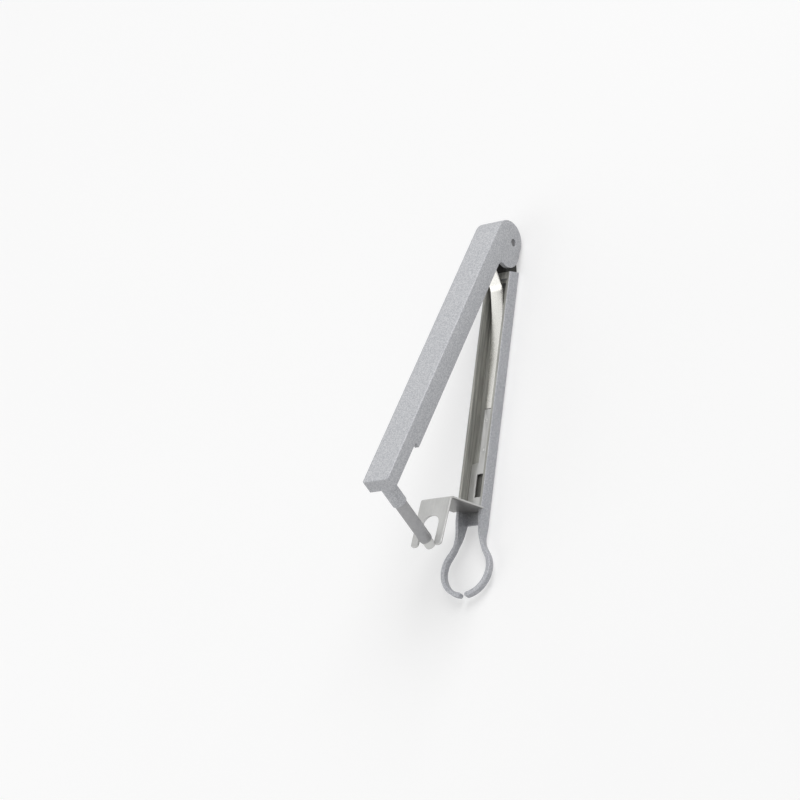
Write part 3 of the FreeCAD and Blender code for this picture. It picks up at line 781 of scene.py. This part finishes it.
@dataclass
class BentStrip:
    """Sheet metal: a flat blank with holes, bent along a path by a geometry node tree.

    The blank lies along its length from 0; the path is a list of corners in millimetres from the
    hinge, each with its bend radius.
    """

    name: str
    node: str
    finish: Finish
    thickness: float
    blank: list[Outline]
    corners: list[Corner]
    cuts: list[float] = field(default_factory=list)
    edge_round: float = 0.12
    span: tuple[Vector, Vector] | None = None
    bend_steps: int = 28
    merge_mm: float = 0.002

    def build(self, materials: dict[Finish, bpy.types.Material]) -> bpy.types.Object:
        """Cut the blank, bend it along the path, dress the piece and seat it.

        Args:
            materials: Materials by finish.

        Returns:
            The finished piece.
        """
        material = materials[self.finish]
        item = link_object(self.name, self.flat_mesh())
        path = link_object(self.name + "_path", self.path_mesh())
        bend = item.modifiers.new("bend", "NODES")
        bend.node_group = bending_tree(self.name + "_bending", material)
        set_inputs(bend, {"Path": path, "Bend Steps": self.bend_steps})
        item.data.update()
        bpy.context.view_layer.update()
        bake_modifiers(item)
        bpy.data.objects.remove(path)
        dress(item, material)
        seat(item, LOWER_BODY, self.node, self.span)
        return item

    def flat_mesh(self) -> bpy.types.Mesh:
        """Blank as a closed plate with rounded edges, cut across where it will bend.

        Returns:
            A mesh in metres: X along the strip, Y across, Z through the sheet.
        """
        curve = bpy.data.curves.new(self.name + "_blank", "CURVE")
        curve.dimensions = "2D"
        curve.fill_mode = "BOTH"
        curve.extrude = (self.thickness / 2 - self.edge_round) * MM
        curve.bevel_depth = self.edge_round * MM
        curve.bevel_resolution = 2
        curve.offset = -self.edge_round * MM
        for outline in self.blank:
            spline = curve.splines.new("POLY")
            spline.points.add(len(outline) - 1)
            spline.use_cyclic_u = True
            for point, (along, across) in zip(spline.points, outline):
                point.co = (along * MM, across * MM, 0.0, 1.0)
        holder = bpy.data.objects.new(self.name + "_blank", curve)
        bpy.context.scene.collection.objects.link(holder)
        graph = bpy.context.evaluated_depsgraph_get()
        mesh = bpy.data.meshes.new_from_object(holder.evaluated_get(graph))
        bpy.data.objects.remove(holder)
        work = bmesh.new()
        work.from_mesh(mesh)
        bmesh.ops.remove_doubles(work, verts=work.verts, dist=self.merge_mm * MM)
        for spot in self.cuts:
            everything = list(work.verts) + list(work.edges) + list(work.faces)
            bmesh.ops.bisect_plane(work, geom=everything, plane_co=(spot * MM, 0, 0),
                                   plane_no=(1, 0, 0))
        bmesh.ops.recalc_face_normals(work, faces=work.faces)
        work.to_mesh(mesh)
        work.free()
        store_flat(mesh, [part for vertex in mesh.vertices for part in vertex.co])
        return mesh

    def path_mesh(self) -> bpy.types.Mesh:
        """Corners of the path as a line of vertices that carry their bend radii.

        Returns:
            The mesh, in metres.
        """
        mesh = bpy.data.meshes.new(self.name + "_path")
        spots = [at_hinge(along, height) for along, height, _ in self.corners]
        mesh.from_pydata(spots, [(i, i + 1) for i in range(len(spots) - 1)], [])
        layer = mesh.attributes.new("bend_radius", "FLOAT", "POINT")
        layer.data.foreach_set("value", [radius * MM for _, _, radius in self.corners])
        return mesh


@dataclass(frozen=True)
class LeafSpring:
    """Spring strip: flat on the channel floor, rising to a bend and up to the lever's spine.

    Lengths are millimetres; places along the arms count from the hinge.
    """

    floor: float = 1.3
    thickness: float = 0.6
    root: float = 88.0
    lift: float = 47.0
    lift_radius: float = 85.0
    rise_deg: float = 17.0
    bend_at: float = 18.4
    bend_radius: float = 4.0
    tip_deg: float = 50.0
    lip_radius: float = 1.6
    lip_length: float = 2.6
    spine_under: float = 8.6
    tip_gap: float = 0.3
    half_narrow: float = 1.4
    half_wide: float = 2.7
    narrow_to: float = 67.0
    wide_from: float = 45.0
    corner: float = 0.5
    follow_from: float = 30.0
    follow_to: float = 17.0
    follow_height: float = 5.0
    flat_cuts: int = 12
    bend_cuts: int = 90

    def corners(self) -> list[Corner]:
        """Corners of the strip's middle line: along, height and bend radius.

        Returns:
            The corners, from the root to the lip's end.
        """
        rise, tip, lean = (math.radians(turn) for turn in (self.rise_deg, self.tip_deg, OPEN_DEG))
        middle = self.floor + self.thickness / 2
        knee = self.lift - self.lift_radius * math.tan(rise / 2)
        bend_z = middle + (knee - self.bend_at) * math.tan(rise)
        depth = self.spine_under - self.tip_gap - self.thickness / 2
        drop = self.bend_at * math.sin(lean) - (bend_z - PIVOT_HEIGHT) * math.cos(lean)
        upright = (depth + drop) / math.sin(tip + lean)
        lip_x = self.bend_at - upright * math.cos(tip)
        lip_z = bend_z + upright * math.sin(tip)
        lip = self.lip_length + self.lip_radius * math.tan((tip + lean) / 2)
        return [(self.root, middle, 0.0), (knee, middle, self.lift_radius),
                (self.bend_at, bend_z, self.bend_radius), (lip_x, lip_z, self.lip_radius),
                (lip_x - lip * math.cos(lean), lip_z - lip * math.sin(lean), 0.0)]

    def build(self, materials: dict[Finish, bpy.types.Material]) -> bpy.types.Object:
        """Cut the blank and bend it.

        Args:
            materials: Materials by finish.

        Returns:
            The finished piece.
        """
        corners = self.corners()
        length = path_length(corners)
        flat = self.root - self.lift
        narrow_to, wide_from = self.root - self.narrow_to, self.root - self.wide_from
        narrow, wide, trim = self.half_narrow, self.half_wide, self.corner
        outline = [(0.0, -narrow), (narrow_to, -narrow), (wide_from, -wide), (length - trim, -wide),
                   (length, -wide + trim), (length, wide - trim), (length - trim, wide),
                   (wide_from, wide), (narrow_to, narrow), (0.0, narrow)]
        cuts = [flat * part / self.flat_cuts for part in range(1, self.flat_cuts + 1)]
        step = (length - flat) / self.bend_cuts
        cuts += [flat + step * part for part in range(1, self.bend_cuts)]
        span = (at_hinge(self.follow_from, self.follow_height),
                at_hinge(self.follow_to, self.follow_height))
        strip = BentStrip("leaf_spring_strip", "leaf_spring", Finish.SPRING, self.thickness,
                          [outline] + rivet_holes(self.root), corners, cuts, span=span)
        return strip.build(materials)


@dataclass(frozen=True)
class Stripper:
    """Stripper: a shank in the channel, an upright and a forked plate.

    Lengths are millimetres; places along the arms count from the hinge.
    """

    thickness: float = 0.8
    bend_radius: float = 1.4
    closed_deg: float = 8.0
    upright_deg: float = 80.0
    seat_height: float = 1.9
    start: float = 67.0
    neck_from: float = 89.0
    shoulder_run: float = 0.5
    half_shank: float = 1.4
    half_neck: float = 4.25
    half_plate: float = 6.65
    wall_top: float = 6.9
    wall_gap: float = 0.3
    plate_back: float = 15.1
    plate_front: float = 4.7
    plate_height: float = 4.42
    slot_back: float = 7.9
    half_slot: float = 3.45
    prong_round: float = 1.2
    window_near: float = 93.8
    window_far: float = 103.1
    half_window: float = 1.3
    edge_round: float = 0.16
    bend_cuts: int = 16

    def corners(self) -> list[Corner]:
        """Corners of the sheet's middle line: along, height and bend radius.

        Returns:
            The corners, from the shank's start to the plate's end.
        """
        closed, upright = math.radians(self.closed_deg), math.radians(self.upright_deg)
        middle = self.seat_height + self.thickness / 2
        first, last = PLUNGER_X - self.plate_back, PLUNGER_X + self.plate_front
        corner_x = first * math.cos(closed) - self.plate_height * math.sin(closed)
        corner_z = (PIVOT_HEIGHT + first * math.sin(closed)
                    + self.plate_height * math.cos(closed))
        foot_x = corner_x - (corner_z - middle) / math.tan(upright)
        plate = last - first
        return [(self.start, middle, 0.0), (foot_x, middle, self.bend_radius),
                (corner_x, corner_z, self.bend_radius),
                (corner_x + plate * math.cos(closed), corner_z + plate * math.sin(closed), 0.0)]

    def build(self, materials: dict[Finish, bpy.types.Material]) -> bpy.types.Object:
        """Cut the blank and bend it.

        Args:
            materials: Materials by finish.

        Returns:
            The finished piece.
        """
        corners = self.corners()
        length = path_length(corners)
        closed, upright = math.radians(self.closed_deg), math.radians(self.upright_deg)
        foot_cut = self.bend_radius * math.tan(upright / 2)
        corner_cut = self.bend_radius * math.tan((upright - closed) / 2)
        shank = corners[1][0] - self.start - foot_cut
        first_bend = shank + self.bend_radius * upright
        plate_start = length - (self.plate_back + self.plate_front - corner_cut)
        second_bend = plate_start - self.bend_radius * (upright - closed)
        wall = self.wall_top + self.wall_gap - corners[1][1]
        widen = first_bend + wall / math.sin(upright) - foot_cut
        neck_from, half = self.neck_from - self.start, self.half_plate
        slot_back = plate_start + self.plate_back - self.slot_back - corner_cut
        prong = self.prong_round
        side = [(0.0, -self.half_shank), (neck_from, -self.half_shank),
                (neck_from + self.shoulder_run, -self.half_neck), (widen, -self.half_neck),
                (widen, -half)]
        tip = corner_arc((length - prong, -half + prong), prong, -90.0, 0.0, 8)
        tip += corner_arc((length - prong, -self.half_slot - prong), prong, 0.0, 90.0, 8)
        slot = corner_arc((slot_back + self.half_slot, 0.0), self.half_slot, -90.0, -180.0, 12)
        lower = side + tip + slot
        upper = [(along, -across) for along, across in reversed(lower[:-1])]
        near, far = self.window_near - self.start, self.window_far - self.start
        window = [(near, -self.half_window), (near, self.half_window), (far, self.half_window),
                  (far, -self.half_window)]
        cuts = []
        for low, high in ((shank, first_bend), (second_bend, plate_start)):
            step = (high - low) / self.bend_cuts
            cuts += [low + step * part for part in range(self.bend_cuts + 1)]
        sheet = BentStrip("stripper_sheet", "stripper", Finish.SHEET, self.thickness,
                          [lower + upper, window] + rivet_holes(self.start), corners, cuts,
                          self.edge_round)
        return sheet.build(materials)


@dataclass(frozen=True)
class RivetPair:
    """Two flush rivets, instanced along the channel floor by a geometry node tree."""

    sides: int = 40
    round_mm: float = 0.05
    round_steps: int = 2

    def build(self, materials: dict[Finish, bpy.types.Material]) -> bpy.types.Object:
        """Place, dress and seat the rivets.

        Args:
            materials: Materials by finish.

        Returns:
            The finished piece.
        """
        material = materials[Finish.RIVET]
        low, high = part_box("strip_rivets")
        radius = (high.y - low.y) / 2
        height = high.z - low.z
        item = link_object("strip_rivet_pair", bpy.data.meshes.new("strip_rivet_pair"))
        row = item.modifiers.new("rivets", "NODES")
        row.node_group = self.row_tree(material)
        set_inputs(row, {"Radius": radius, "Height": height,
                         "First": (low.x + radius, 0.0, low.z + height / 2),
                         "Pitch": (high.x - low.x - 2 * radius, 0.0, 0.0)})
        bake_modifiers(item)
        rounding = item.modifiers.new("rounding", "BEVEL")
        rounding.width = self.round_mm * MM
        rounding.segments = self.round_steps
        bake_modifiers(item)
        store_flat(item.data, [part for vertex in item.data.vertices
                               for part in (vertex.co.z, vertex.co.y, vertex.co.x)])
        dress(item, material)
        seat(item, LOWER_BODY, "strip_rivets")
        return item

    def row_tree(self, material: bpy.types.Material) -> bpy.types.GeometryNodeTree:
        """Tree with the inputs Radius, Height, First and Pitch.

        Args:
            material: Material of the result.

        Returns:
            The tree.
        """
        tree = GeometryTree("rivet_row")
        for name, kind in (("Radius", "NodeSocketFloat"), ("Height", "NodeSocketFloat"),
                           ("First", "NodeSocketVector"), ("Pitch", "NodeSocketVector")):
            tree.socket(name, "INPUT", kind)
        given = tree.start.outputs
        row = tree.node("GeometryNodeMeshLine", {"mode": "OFFSET"}, {
            "Count": len(RIVET_PLACES), "Start Location": given["First"],
            "Offset": given["Pitch"]})
        stud = tree.node("GeometryNodeMeshCylinder", {"fill_type": "NGON"}, {
            "Vertices": self.sides, "Radius": given["Radius"], "Depth": given["Height"]})
        spread = tree.node("GeometryNodeInstanceOnPoints", {}, {
            "Points": row.outputs[0], "Instance": stud.outputs["Mesh"]})
        tree.close(spread.outputs[0], material)
        return tree.group


class GeometryTree:
    """Geometry node tree with named inputs, built through one method."""

    def __init__(self, name: str) -> None:
        """Make a tree with one geometry input and one geometry output.

        Args:
            name: Name of the new tree.
        """
        self.group = bpy.data.node_groups.new(name, "GeometryNodeTree")
        self.socket("Geometry", "INPUT", "NodeSocketGeometry")
        self.socket("Geometry", "OUTPUT", "NodeSocketGeometry")
        self.start = self.group.nodes.new("NodeGroupInput")
        self.end = self.group.nodes.new("NodeGroupOutput")

    def socket(self, name: str, side: str, kind: str) -> None:
        """Add a named socket to the tree's interface."""
        self.group.interface.new_socket(name=name, in_out=side, socket_type=kind)

    def node(self, kind: str, settings: dict | None = None,
             inputs: dict | None = None) -> bpy.types.Node:
        """Add a node, set it up and feed it.

        Args:
            kind: Blender's type name of the node.
            settings: Properties of the node, set before its sockets.
            inputs: Values or other nodes' sockets by socket name or number.

        Returns:
            The node.
        """
        made = self.group.nodes.new(kind)
        for key, value in (settings or {}).items():
            setattr(made, key, value)
        for key, value in (inputs or {}).items():
            if isinstance(value, bpy.types.NodeSocket):
                self.group.links.new(value, made.inputs[key])
            else:
                made.inputs[key].default_value = value
        return made

    def close(self, geometry: bpy.types.NodeSocket, material: bpy.types.Material) -> None:
        """End the tree in Realize Instances and Set Material.

        Args:
            geometry: Output that holds the piece.
            material: Material of the piece.
        """
        real = self.node("GeometryNodeRealizeInstances", {}, {"Geometry": geometry})
        done = self.node("GeometryNodeSetMaterial", {}, {
            "Geometry": real.outputs[0], "Material": material})
        self.group.links.new(done.outputs[0], self.end.inputs[0])


def bending_tree(name: str, material: bpy.types.Material) -> bpy.types.GeometryNodeTree:
    """Tree that carries a flat plate along a path of straights and bends.

    Args:
        name: Name of the tree.
        material: Material of the result.

    Returns:
        The tree, with the inputs Path and Bend Steps.
    """
    tree = GeometryTree(name)
    tree.socket("Path", "INPUT", "NodeSocketObject")
    tree.socket("Bend Steps", "INPUT", "NodeSocketInt")
    path = tree.node("GeometryNodeObjectInfo", {}, {"Object": tree.start.outputs["Path"]})
    line = tree.node("GeometryNodeMeshToCurve", {}, {"Mesh": path.outputs["Geometry"]})
    radius = tree.node("GeometryNodeInputNamedAttribute", {"data_type": "FLOAT"},
                       {"Name": "bend_radius"})
    bends = tree.node("GeometryNodeFilletCurve", {"mode": "POLY"}, {
        "Curve": line.outputs[0], "Radius": radius.outputs[0],
        "Count": tree.start.outputs["Bend Steps"]})
    place = tree.node("GeometryNodeInputPosition")
    parts = tree.node("ShaderNodeSeparateXYZ", {}, {"Vector": place.outputs[0]})
    sample = tree.node("GeometryNodeSampleCurve", {"mode": "LENGTH"}, {
        "Curves": bends.outputs[0], "Length": parts.outputs["X"]})
    across = tree.node("ShaderNodeCombineXYZ", {}, {"Y": parts.outputs["Y"]})
    outward = tree.node("ShaderNodeVectorMath", {"operation": "CROSS_PRODUCT"}, {
        0: sample.outputs["Tangent"], 1: (0.0, 1.0, 0.0)})
    through = tree.node("ShaderNodeVectorMath", {"operation": "SCALE"}, {
        0: outward.outputs[0], "Scale": parts.outputs["Z"]})
    inner = tree.node("ShaderNodeVectorMath", {"operation": "ADD"}, {
        0: sample.outputs["Position"], 1: across.outputs[0]})
    whole = tree.node("ShaderNodeVectorMath", {"operation": "ADD"}, {
        0: inner.outputs[0], 1: through.outputs[0]})
    moved = tree.node("GeometryNodeSetPosition", {}, {
        "Geometry": tree.start.outputs["Geometry"], "Position": whole.outputs[0]})
    tree.close(moved.outputs[0], material)
    return tree.group


@dataclass(frozen=True)
class HingePin:
    """Pin of the hinge: dished ends inside the two ears.

    An end's profile runs outwards from near the axis, as depths in millimetres and shares of the
    pin's radius.
    """

    centre: float = 0.05
    end: tuple = ((0.12, 0.55), (0.02, 0.74), (0.0, 0.86), (0.06, 0.95), (0.22, 1.0))

    def build(self, materials: dict[Finish, bpy.types.Material]) -> bpy.types.Object:
        """Turn a pin that fills its node's length and width.

        Args:
            materials: Materials by finish.

        Returns:
            The finished piece.
        """
        low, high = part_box("hinge_pin")
        length = (high.y - low.y) / MM
        radius = (high.z - low.z) / MM / 2
        near = [(self.end[0][0], self.centre)]
        near += [(depth, radius * share) for depth, share in self.end]
        far = [(length - along, spread) for along, spread in reversed(near)]
        start = Vector((HINGE.x, low.y, (low.z + high.z) / 2))
        pin = Turned("hinge_pin_turned", "hinge_pin", LEVER_BODY, near + far, start,
                     Vector((0.0, 1.0, 0.0)), Finish.PIN)
        return pin.build(materials)


@dataclass(frozen=True)
class Plunger:
    """Rod that pushes the stone out: a stub in the boss, a rod and a narrower, dished tip.

    Lengths are millimetres. Along the rod, stub and shoulder count from the boss, and the rest
    counts back from the tip's end. Shoulder and step give radii over the rod's radius, and edge
    gives them over the tip's.
    """

    boss_drop: float = 5.3
    length: float = 23.1
    rod: float = 2.35
    tip: float = 1.95
    stub: tuple = ((-8.0, 1.45), (-0.02, 1.45), (0.0, 1.6))
    shoulder: tuple = ((0.0, -0.35), (0.12, -0.12), (0.35, 0.0))
    step: tuple = ((4.1, 0.0), (3.5, -0.12))
    edge: tuple = ((3.2, 0.03), (3.0, 0.0), (0.35, 0.0), (0.1, -0.1), (0.02, -0.28), (0.12, -0.5))
    cup: tuple = ((0.42, 0.6), (0.48, 0.05))

    def build(self, materials: dict[Finish, bpy.types.Material]) -> bpy.types.Object:
        """Turn the plunger on the axis of its node.

        Args:
            materials: Materials by finish.

        Returns:
            The finished piece.
        """
        lean = math.radians(OPEN_DEG)
        root = lever_point(PLUNGER_X, -self.boss_drop)
        down = Vector((math.sin(lean), 0.0, -math.cos(lean)))
        profile = list(self.stub)
        profile += [(along, self.rod + over) for along, over in self.shoulder]
        for base, points in ((self.rod, self.step), (self.tip, self.edge), (0.0, self.cup)):
            profile += [(self.length - back, base + over) for back, over in points]
        rod = Turned("plunger_rod", "plunger", LEVER_BODY, profile, root, down, Finish.TURNED)
        return rod.build(materials)


@dataclass(frozen=True)
class Lamp:
    """Square soft lamp that faces the object; its place and width are metres."""

    name: str
    place: tuple[float, float, float]
    width: float
    watts: float

    def build(self) -> None:
        """Hang the lamp."""
        light = bpy.data.lights.new(self.name, "AREA")
        light.size = self.width
        light.energy = self.watts
        item = bpy.data.objects.new(self.name, light)
        item.location = self.place
        item.rotation_euler = Vector(self.place).to_track_quat("Z", "Y").to_euler()
        bpy.context.scene.collection.objects.link(item)


@dataclass(frozen=True)
class Studio:
    """Pale floor, white surroundings, soft lamps and the camera of the photograph."""

    floor_size: float = 6.0
    eye: tuple = (0.40415, 0.5387, 0.7475)
    right: tuple = (-0.1241, 0.8143, -0.5670)
    up: tuple = (-0.9096, 0.1349, 0.3929)
    lens_mm: float = 119.9
    sensor_mm: float = 36.0
    world_light: float = 0.42
    lamps: tuple[Lamp, ...] = (Lamp("key", (-1.5, 0.85, 2.2), 1.8, 39.0),
                               Lamp("side", (0.75, 0.75, 0.65), 0.9, 0.15),
                               Lamp("front", (0.52, -0.58, 0.68), 0.8, 1.8))

    def build(self) -> None:
        """Set up the floor, the world, the lamps and the camera."""
        bpy.context.scene.view_settings.view_transform = "Standard"
        self.floor()
        self.surroundings()
        for lamp in self.lamps:
            lamp.build()
        self.camera()

    def floor(self) -> None:
        """Lay the floor under the rest face."""
        half = self.floor_size / 2
        mesh = bpy.data.meshes.new("floor")
        corners = [(-half, -half, 0.0), (half, -half, 0.0), (half, half, 0.0), (-half, half, 0.0)]
        mesh.from_pydata(corners, [], [(0, 1, 2, 3)])
        mesh.materials.append(FloorPaint().material())
        link_object("floor", mesh)

    def surroundings(self) -> None:
        """Light the scene softly from all round and show white behind it."""
        world = bpy.data.worlds.new("surroundings")
        bpy.context.scene.world = world
        tree = ShaderTree(world, "ShaderNodeBackground", "ShaderNodeOutputWorld")
        seen = tree.node("ShaderNodeLightPath", output="Is Camera Ray")
        for ray in ("Is Transmission Ray", "Is Glossy Ray"):
            other = tree.node("ShaderNodeLightPath", output=ray)
            seen = tree.node("ShaderNodeMath", {"operation": "MAXIMUM"}, {0: seen, 1: other})
        level = tree.node("ShaderNodeMapRange", {}, {
            "Value": seen, "To Min": self.world_light, "To Max": 1.0})
        tree.feed({"Color": colour(1.0, 1.0, 1.0), "Strength": level})

    def camera(self) -> None:
        """Place the camera at the photograph's viewing angle."""
        data = bpy.data.cameras.new("camera")
        data.sensor_width = self.sensor_mm
        data.lens = self.lens_mm
        data.clip_start = 0.01
        item = bpy.data.objects.new("camera", data)
        right = Vector(self.right).normalized()
        up = Vector(self.up)
        up = (up - right * up.dot(right)).normalized()
        back = right.cross(up)
        turn = Matrix((right, up, back)).transposed()
        item.matrix_world = Matrix.Translation(self.eye) @ turn.to_4x4()
        bpy.context.scene.collection.objects.link(item)
        bpy.context.scene.camera = item


def main() -> None:
    """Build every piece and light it."""
    logging.basicConfig(level=logging.INFO, format="%(name)s: %(message)s")
    materials = finish_materials()
    # The arm's skin is a darker copy of the lever's: painted shade on the arm.
    arm_skin = CastSkin("arm_cast_skin", (0.0, 5.0), (103.0, 114.0),
                        light=colour(0.585, 0.59, 0.61), dark=colour(0.39, 0.40, 0.43))
    lever_skin = CastSkin("lever_cast_skin", (-2.0, 6.0), (112.0, 118.0))
    Casting("lower_arm", LOWER_BODY, arm_skin, 1.2, 0.0, 1.0, (14.9, 118.0)).build()
    Casting("lever", LEVER_BODY, lever_skin, 1.7, OPEN_DEG, -1.0, (8.0, 126.0)).build()
    HingePin().build(materials)
    Plunger().build(materials)
    LeafSpring().build(materials)
    Stripper().build(materials)
    RivetPair().build(materials)
    Studio().build()


if __name__ == "__main__":
    main()
